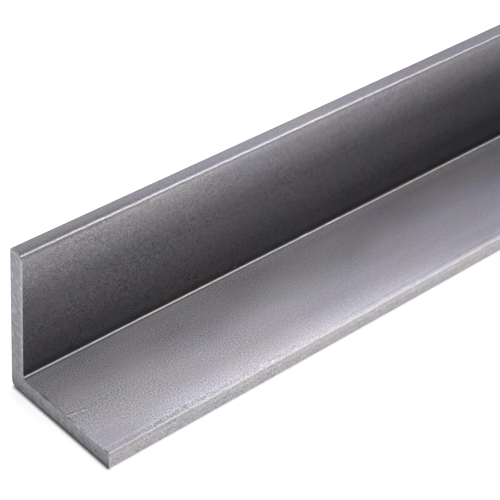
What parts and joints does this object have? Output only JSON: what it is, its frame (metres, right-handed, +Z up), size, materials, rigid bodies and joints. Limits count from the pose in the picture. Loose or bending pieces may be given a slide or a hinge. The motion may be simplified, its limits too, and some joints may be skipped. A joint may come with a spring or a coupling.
{
  "type": "metal angle section",
  "caption": "Straight length of equal-leg rolled steel angle with plain faces, a tight inner corner and sawn ends.",
  "frame": {"origin": "middle of the overall box, on the underside of the flat leg", "axes": "+X along the bar; the flat leg lies on the floor and reaches towards -Y; the upright leg stands at the +Y side; +Z up"},
  "size_m": [1.0044, 0.05, 0.05],
  "materials": {
    "steel": "bare rolled steel, satin grey with a fine sandy grain"
  },
  "bodies": {
    "root": {"steel_angle": "steel"}
  },
  "joints": []
}
